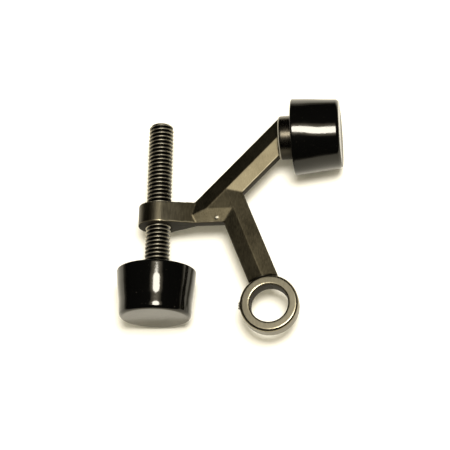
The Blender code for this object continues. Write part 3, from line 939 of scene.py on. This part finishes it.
def casting_material():
    material, tree, shader, place = start_material("relieved_bronze_plating", 1.0)
    shader.inputs["IOR"].default_value = BLACK_IOR
    fold, brushed, ground_and_highlight = attribute(tree, "fold"), attribute(tree, "brushed"), attribute(tree, "ground_and_highlight")
    neck, bare = attribute(tree, "neck"), attribute(tree, "bare")
    worn = use_group(tree, edge_wear, Fold=fold, Vector=place, Start=0.35, Full=1.0, Break_Up=0.3)["Mask"]
    grain = use_group(tree, brushed_grain, Vector=place, Across=11000.0, Along=500.0)["Value"]
    scratch = use_group(tree, scratches, Vector=place, Scale=330.0, Width=0.016, Share=0.36)["Mask"]
    cloud = noise(tree, place, 250.0, 4.0, 0.6)
    streak = map_range(tree, grain, 0.30, 0.70)
    tone = maths(tree, "ADD", maths(tree, "MULTIPLY", cloud, 0.65), maths(tree, "MULTIPLY", streak, 0.35))
    colour = blend_colours(tree, map_range(tree, tone, 0.3, 0.7), CASTING_DARK, CASTING_WARM)
    # The eye's ground faces, and the painted highlight along the boss's top, take this lighter colour.
    ground_and_highlight_colour = blend_colours(tree, streak, CASTING_GROUND_AND_HIGHLIGHT, CASTING_GLEAM)
    colour = blend_colours(tree, ground_and_highlight, colour, ground_and_highlight_colour)
    edge = maths(tree, "MULTIPLY", worn, maths(tree, "ADD", maths(tree, "MULTIPLY", ground_and_highlight, 0.5), 0.45))
    colour = blend_colours(tree, edge, colour, CASTING_WORN)
    colour = blend_colours(tree, maths(tree, "MULTIPLY", scratch, 0.25), colour, CASTING_WORN)
    colour = blend_colours(tree, brushed, CASTING_BLACK, colour)
    # The neck is metal on its top only; the black left on its underside is painted shade.
    colour = blend_colours(tree, neck, colour, CASTING_NECK)
    tree.links.new(blend_colours(tree, bare, colour, BARE_ZINC), shader.inputs["Base Color"])
    finished = maths(tree, "MAXIMUM", brushed, neck)
    metal = maths(tree, "MULTIPLY", finished, map_range(tree, bare, 0.0, 1.0, 1.0, 0.2))
    tree.links.new(metal, shader.inputs["Metallic"])
    roughness = map_range(tree, grain, 0.3, 0.7, 0.30, 0.40)
    roughness = maths(tree, "ADD", roughness, maths(tree, "MULTIPLY", cloud, 0.09))
    dull = maths(tree, "MULTIPLY", maths(tree, "SUBTRACT", 1.0, finished), 0.20)
    polish = maths(tree, "MULTIPLY", maths(tree, "MULTIPLY", worn, ground_and_highlight), 0.16)
    polish = maths(tree, "ADD", polish, maths(tree, "MULTIPLY", neck, 0.14))
    roughness = maths(tree, "SUBTRACT", maths(tree, "ADD", roughness, dull), polish)
    tree.links.new(roughness, shader.inputs["Roughness"])
    height = maths(tree, "MULTIPLY", maths(tree, "SUBTRACT", grain, scratch), 0.6)
    tree.links.new(add_bump(tree, height, CASTING_BUMP), shader.inputs["Normal"])
    return material


casting.data.materials.clear()
casting.data.materials.append(casting_material())
print("casting material:", len(casting.data.materials[0].node_tree.nodes), "nodes")

# %% [markdown]
# ## The adjusting rod
# A rolled thread has soft crests, and its free end is dressed round so that it starts easily in the boss.
# The rod's surface is the thread grid with its crests softened, held under an oval at the tip.

# %% Rod mesh
ROD_TIP_Y = 46.75 * MM
ROD_TIP_FLAT_RADIUS = 1.9 * MM
ROD_TIP_HEIGHT = 1.1 * MM
BUMPER_BACK_Y = 9.03 * MM
ROD_IN_HEAD = 5.4 * MM
CREST_SOFTNESS = 0.6
ROD_FOLD = 0.03 * MM
ROD_PLACING = axis_frame(Vector((BOSS_X, BOSS_LOWER_Y, 0.0)), Vector((0.0, 1.0, 0.0)))
rod_low = BUMPER_BACK_Y - ROD_IN_HEAD - BOSS_LOWER_Y
rod_high = ROD_TIP_Y - BOSS_LOWER_Y


def tip_limit(heights):
    """The greatest radius at each height: an oval dome over the rod's free end."""
    above = np.clip((heights - (rod_high - ROD_TIP_HEIGHT)) / ROD_TIP_HEIGHT, 0.0, 1.0)
    return ROD_TIP_FLAT_RADIUS + (ROD_RADIUS - ROD_TIP_FLAT_RADIUS) * np.sqrt(1.0 - above * above)


rod_shape = thread_grid(ROD_RADIUS, rod_low, rod_high, CREST_FLAT, ROOT_FLAT, CREST_SOFTNESS, tip_limit)
rod = place_object("threaded_rod", finish_mesh("threaded_rod", rod_shape, ROD_PLACING))
measure_folds(rod.data, 10, ROD_FOLD)
print("rod:", len(rod.data.polygons), "faces")

# %% [markdown]
# ## Blackened steel
# The rod is blackened in a bath. The black stays in the roots, where oil and dust gather as well, and rubs
# off the crests, which gleam. So the wear mask does most of the work here: it lightens the colour and, as
# rubbing leaves fine scratches, it spreads the gleam a little.

# %% Rod material
STEEL_DARK = (0.009, 0.008, 0.006, 1.0)
STEEL_WORN = (0.36, 0.335, 0.265, 1.0)
STEEL_BUMP = 0.004 * MM


def steel_material(name, start, full, amount):
    material, tree, shader, place = start_material(name, 1.0)
    fold = attribute(tree, "fold")
    worn = use_group(tree, edge_wear, Fold=fold, Vector=place, Start=start, Full=full, Break_Up=0.3)["Mask"]
    worn = maths(tree, "MULTIPLY", worn, amount)
    cloud = noise(tree, place, 420.0, 3.0, 0.6)
    speck = noise(tree, place, 5200.0, 2.0, 0.5)
    tree.links.new(blend_colours(tree, worn, STEEL_DARK, STEEL_WORN), shader.inputs["Base Color"])
    roughness = map_range(tree, cloud, 0.3, 0.7, 0.34, 0.46)
    roughness = maths(tree, "ADD", roughness, maths(tree, "MULTIPLY", worn, 0.06))
    tree.links.new(roughness, shader.inputs["Roughness"])
    tree.links.new(add_bump(tree, speck, STEEL_BUMP), shader.inputs["Normal"])
    return material


rod.data.materials.append(steel_material("blackened_thread", 0.2, 0.8, 1.0))
print("rod material ready")

# %% [markdown]
# ## The head under the bumper
# A flanged steel head is staked on the rod's end, and the adjusting bumper snaps over it. Only its collar
# shows, in the bumper's mouth. It is turned, so its corners get the small radius that a file leaves.

# %% Rod head
HEAD_COLLAR = 0.6 * MM
HEAD_FOLD = 0.04 * MM
SEAT_GAP = 0.3 * MM
OUTLINE_SPACING = 0.4 * MM
ADJUSTING_PLACING = axis_frame(Vector((BOSS_X, BUMPER_BACK_Y, 0.0)), Vector((0.0, 1.0, 0.0)))


def head_outline():
    bore = ROD_RADIUS + SEAT_GAP
    corners = [(0.0, -ROD_IN_HEAD - SEAT_GAP, 0.0), (bore, -ROD_IN_HEAD - SEAT_GAP, 0.0)]
    corners += [(bore, HEAD_COLLAR, 0.1 * MM), (NECK_RADIUS, HEAD_COLLAR, 0.15 * MM)]
    corners.append((NECK_RADIUS, -FLANGE_DEPTH, 0.2 * MM))
    corners += [(radius, height, 0.1 * MM) for radius, height in flange_corners(-FLANGE_DEPTH)]
    corners.append((0.0, -FLANGE_DEPTH - FLANGE_THICKNESS, 0.0))
    return closer_points(rounded_outline(corners), OUTLINE_SPACING)


head = place_object("staked_head", finish_mesh("staked_head", spin(head_outline()), ADJUSTING_PLACING))
measure_folds(head.data, 6, HEAD_FOLD)
head.data.materials.append(steel_material("blackened_head", 0.3, 0.9, 0.5))
print("head:", len(head.data.polygons), "faces")

# %% [markdown]
# ## Rubber bumpers
# Both bumpers come from one mould: a cup with a thick floor, a pocket for the flange, a mouth that the
# neck fills, and a flank that narrows to a rounded striking face. Moulded rubber is never quite true: the
# flank swells over the flange, falls away faster beyond it and is not perfectly round. A mirror-like skin
# shows that at once, so the flank is drawn from a short list of slopes and pushed in a little by slow waves.
# The bumper on the rod also has a small tear in its back rim.

# %% Bumper meshes
BUMPER_BACK_RADIUS = 9.5 * MM
BUMPER_FACE_RADIUS = 8.6 * MM
BUMPER_LENGTH = 11.55 * MM
BUMPER_FACE_ROUNDING = 0.95 * MM
BUMPER_BACK_ROUNDING = 0.3 * MM
BUMPER_SPACING = 0.5 * MM
POCKET_ROUNDING = 0.3 * MM
MOUTH_ROUNDING = 0.25 * MM
SHORT_RUN = 1e-6
FLANK_STEPS = 42
FACE_STEPS = 12
FACE_DISH = 0.10 * MM
FIXED_SLOPES = ((0.3 * MM, 0.0), (10.6 * MM, 0.0))
ADJUSTING_SLOPES = (
    (0.3 * MM, -0.016), (3.2 * MM, -0.016), (4.1 * MM, 0.035), (7.0 * MM, 0.035), (8.0 * MM, -0.05),
    (9.8 * MM, -0.05), (10.3 * MM, 0.04), (10.6 * MM, 0.09),
)
UNEVEN_FROM = 7.6 * MM
UNEVEN_BLEND = 0.8 * MM
WAVE_LENGTH = 5.5 * MM
FIXED_DEPTH = 0.17 * MM
ADJUSTING_DEPTH = 0.02 * MM
LOBES = 4.0
NICK_TURN = math.radians(19.0)
NICK_HALF_ANGLE = math.radians(2.6)
NICK_HEIGHT = 0.9 * MM
NICK_DEPTH = 0.45 * MM
# Where the striking face's khaki tone and dullness grow: they are stronger towards the bottom.
FACE_TONE_LOW = -3.5 * MM
FACE_TONE_HIGH = 2.0 * MM
FACE_TONE_LEAST = 0.25


def flank_points(slopes):
    """The flank from the back rim to the face's rounding; slopes are (height, extra slope) pairs."""
    heights = np.linspace(-BUMPER_BACK_ROUNDING, BUMPER_FACE_ROUNDING - BUMPER_LENGTH, FLANK_STEPS + 1)
    extra = np.interp(-heights, [pair[0] for pair in slopes], [pair[1] for pair in slopes])
    fall = np.concatenate([[0.0], np.cumsum((extra[1:] + extra[:-1]) / 2 * np.diff(-heights))])
    share = np.linspace(0.0, 1.0, FLANK_STEPS + 1)
    cone = BUMPER_BACK_RADIUS + (BUMPER_FACE_RADIUS - BUMPER_BACK_RADIUS) * share
    radii = np.minimum(cone - fall + fall[-1] * share, BUMPER_BACK_RADIUS)
    return [Vector(pair) for pair in zip(radii, heights)]


def cup_outline():
    """The pocket, its mouth and the back rim, from the axis to just past the rim's rounding."""
    mouth = NECK_RADIUS + SEAT_GAP
    pocket = FLANGE_RADIUS + SEAT_GAP
    shelf = -FLANGE_DEPTH + SEAT_GAP
    pocket_end = -FLANGE_DEPTH - FLANGE_THICKNESS - SEAT_GAP
    return rounded_outline([
        (0.0, pocket_end, 0.0),
        (pocket, pocket_end, POCKET_ROUNDING),
        (pocket, shelf, POCKET_ROUNDING),
        (mouth, shelf, POCKET_ROUNDING),
        (mouth, 0.0, MOUTH_ROUNDING),
        (BUMPER_BACK_RADIUS, 0.0, BUMPER_BACK_ROUNDING),
        (BUMPER_BACK_RADIUS, -BUMPER_BACK_ROUNDING - SHORT_RUN, 0.0),
    ])


def face_points():
    """The rounded edge of the striking face and the face itself, a little hollow, in to the axis."""
    centre = Vector((BUMPER_FACE_RADIUS, -BUMPER_LENGTH)) + Vector((-1.0, 1.0)) * BUMPER_FACE_ROUNDING
    points = []
    for step in range(1, FACE_STEPS + 1):
        angle = math.pi / 2 * step / FACE_STEPS
        points.append(centre + Vector((math.cos(angle), -math.sin(angle))) * BUMPER_FACE_ROUNDING)
    for step in range(1, FACE_STEPS + 1):
        share = step / FACE_STEPS
        hollow = FACE_DISH * math.sin(math.pi * share / 2) ** 2
        points.append(Vector((centre.x * (1.0 - share), hollow - BUMPER_LENGTH)))
    return points


def bumper_outline(slopes):
    return closer_points([*cup_outline()[:-1], *flank_points(slopes), *face_points()], BUMPER_SPACING)


def unevenness(place, depth):
    """How far a point of the flank lies inside the true cone: slow waves, and the lobes of a soft mould."""
    around = math.atan2(place.y, place.x)
    lobes = math.cos(LOBES * around) * math.cos(math.pi * place.z / BUMPER_LENGTH)
    waves = mathutils.noise.noise(place / WAVE_LENGTH)
    return depth * (1.0 - 0.5 * lobes - 0.5 * waves)


def nick_depth(place, turn):
    """A small tear in the back rim at an angle around the axis."""
    aside = abs(math.atan2(place.y, place.x) - turn) / NICK_HALF_ANGLE
    down = -place.z / NICK_HEIGHT
    return NICK_DEPTH * max(0.0, 1.0 - aside) * max(0.0, 1.0 - down)


def mark_face_tone(mesh):
    """Stores an attribute for the striking face's khaki tone and roughness, stronger towards the bottom."""
    points, _ = points_and_normals(mesh)
    on_face = smooth_step(-points[:, 2], BUMPER_LENGTH - 0.25 * MM, BUMPER_LENGTH - 0.05 * MM)
    low = 1.0 - smooth_step(points[:, 1], FACE_TONE_LOW, FACE_TONE_HIGH)
    store(mesh, "face_tone", on_face * (FACE_TONE_LEAST + (1.0 - FACE_TONE_LEAST) * low))


def make_bumper(name, slopes, depth, placing, nick_turn=None):
    """A bumper with its own flank; local Z points out of its mouth and local Y up when placed."""
    shape = spin(bumper_outline(slopes), FINE_SPIN_STEPS)
    for vert in shape.verts:
        radius = math.hypot(vert.co.x, vert.co.y)
        share = min(1.0, max(0.0, (radius - UNEVEN_FROM) / UNEVEN_BLEND))
        if share > 0.0:
            inward = share * unevenness(vert.co, depth)
            inward += nick_depth(vert.co, nick_turn) if nick_turn is not None else 0.0
            vert.co.xy *= 1.0 - inward / radius
    mesh = finish_mesh(name, shape)
    mark_face_tone(mesh)
    mesh.transform(placing)
    return place_object(name, mesh)


fixed_cap = make_bumper("door_side_bumper", FIXED_SLOPES, FIXED_DEPTH, POST_PLACING)
adjusting_cap = make_bumper(
    "wall_side_bumper", ADJUSTING_SLOPES, ADJUSTING_DEPTH, ADJUSTING_PLACING, NICK_TURN
)
print("bumpers:", len(fixed_cap.data.polygons), "faces each")

# %% [markdown]
# ## Glossy black rubber
# Moulded in a polished die, the rubber is nearly as glossy as lacquer, so it shows the lamp as a hard white
# streak. A mirror-smooth black would look like glass. What tells rubber apart is a very fine ripple, soft
# dull patches where hands have been and a little pale dust. The striking face also has a khaki tone and is
# duller, more so towards the bottom.

# %% Rubber material
RUBBER_IOR = 1.37
RUBBER_BLACK = (0.0014, 0.0014, 0.0013, 1.0)
RUBBER_TINT = (1.0, 0.985, 0.91, 1.0)
RUBBER_DUST = (0.07, 0.063, 0.05, 1.0)
# A khaki tone on the striking face, stronger towards the bottom.
RUBBER_FACE_TONE = (0.058, 0.051, 0.030, 1.0)
RUBBER_BUMP = 0.008 * MM


def rubber_material():
    material, tree, shader, place = start_material("glossy_black_rubber", 0.0)
    shader.inputs["IOR"].default_value = RUBBER_IOR
    shader.inputs["Specular Tint"].default_value = RUBBER_TINT
    haze = noise(tree, place, 180.0, 4.0, 0.6)
    ripple = noise(tree, place, 900.0, 2.0, 0.5)
    fine = noise(tree, place, 4500.0, 2.0, 0.5)
    speck = noise(tree, place, 2600.0, 1.0, 0.5)
    dust = maths(tree, "MULTIPLY", map_range(tree, speck, 0.73, 0.80), 0.25)
    # The striking face's khaki tone and extra roughness, stronger towards the bottom.
    face_tone_base = attribute(tree, "face_tone")
    face_tone = maths(tree, "MULTIPLY", face_tone_base, map_range(tree, fine, 0.2, 0.7, 0.6, 1.0))
    colour = blend_colours(tree, dust, RUBBER_BLACK, RUBBER_DUST)
    tree.links.new(blend_colours(tree, face_tone, colour, RUBBER_FACE_TONE), shader.inputs["Base Color"])
    roughness = map_range(tree, haze, 0.4, 0.75, 0.085, 0.15)
    roughness = maths(tree, "ADD", roughness, maths(tree, "MULTIPLY", dust, 0.4))
    roughness = maths(tree, "ADD", roughness, maths(tree, "MULTIPLY", face_tone_base, 0.35))
    tree.links.new(roughness, shader.inputs["Roughness"])
    height = maths(tree, "ADD", ripple, maths(tree, "MULTIPLY", fine, 0.15))
    tree.links.new(add_bump(tree, height, RUBBER_BUMP), shader.inputs["Normal"])
    return material


rubber = rubber_material()
for cap in (fixed_cap, adjusting_cap):
    cap.data.materials.append(rubber)
print("rubber material:", len(rubber.node_tree.nodes), "nodes")

# %% [markdown]
# ## The floor
# A pale sheet on a darker table. It lies at the lowest point of the bumpers, which carry the stop when it is
# put down flat. Its slight warmth only shows in the soft shadows and in what the rubber mirrors,
# since the lit part burns out to white. The table beyond it keeps the rubber's flanks dark: a white floor
# that went on for ever would lift them to grey.

# %% Floor
FLOOR_RADIUS = 3.0
FLOOR_COLOUR = (0.89, 0.875, 0.81, 1.0)
FAR_FLOOR_COLOUR = (0.20, 0.19, 0.16, 1.0)
SHEET_RADIUS = 0.10
SHEET_FADE = 0.06
FIBRE_SHADE = 0.985
FLOOR_ROUGHNESS = 0.75
FLOOR_GLOSS = 0.1
floor_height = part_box("fixed_bumper")[0].z


def floor_shape():
    shape = bmesh.new()
    bmesh.ops.create_circle(shape, cap_ends=True, segments=96, radius=FLOOR_RADIUS)
    bmesh.ops.translate(shape, vec=(0.0, 0.0, floor_height), verts=shape.verts)
    return shape


floor = place_object("pale_floor", finish_mesh("pale_floor", floor_shape()))
floor_material, floor_tree, floor_shader, floor_place = start_material("pale_paper", 0.0)
fibre = map_range(floor_tree, noise(floor_tree, floor_place, 1500.0, 4.0, 0.6), 0.3, 0.7)
shaded = tuple(FIBRE_SHADE * value for value in FLOOR_COLOUR)
paper = blend_colours(floor_tree, fibre, FLOOR_COLOUR, shaded)
from_middle = add_node(floor_tree, "VectorMath", {"operation": "LENGTH"}, i0=floor_place).outputs["Value"]
far_out = map_range(floor_tree, from_middle, SHEET_RADIUS, SHEET_RADIUS + SHEET_FADE)
paper = blend_colours(floor_tree, far_out, paper, FAR_FLOOR_COLOUR)
floor_tree.links.new(paper, floor_shader.inputs["Base Color"])
floor_shader.inputs["Roughness"].default_value = FLOOR_ROUGHNESS
floor_shader.inputs["Specular IOR Level"].default_value = FLOOR_GLOSS
floor.data.materials.append(floor_material)
print("floor at, mm:", round(floor_height / MM, 2))

# %% [markdown]
# ## Joining the pieces to the moving bodies
# The casting and its bumper are held together. The other bumper slides with the rod, while the rod and its
# head also turn inside it. Each fine piece rides on the body that it belongs to and stands in for the plain
# CAD node, which stays in the physics model.

# %% Bodies, replaced nodes and finishes
RIDERS = (
    (casting, "casting", "yoke", "casting"),
    (fixed_cap, "casting", "fixed_bumper", "rubber"),
    (adjusting_cap, "adjuster_cap", "adjusting_bumper", "rubber"),
    (rod, "adjusting_screw", "adjusting_rod", "rod_steel"),
    (head, "adjusting_screw", "rod_head", "rod_steel"),
)
for piece, body, node, slot in RIDERS:
    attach(piece, body)
    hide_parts(node)
    print(piece.name, "rides", body, "for", node)
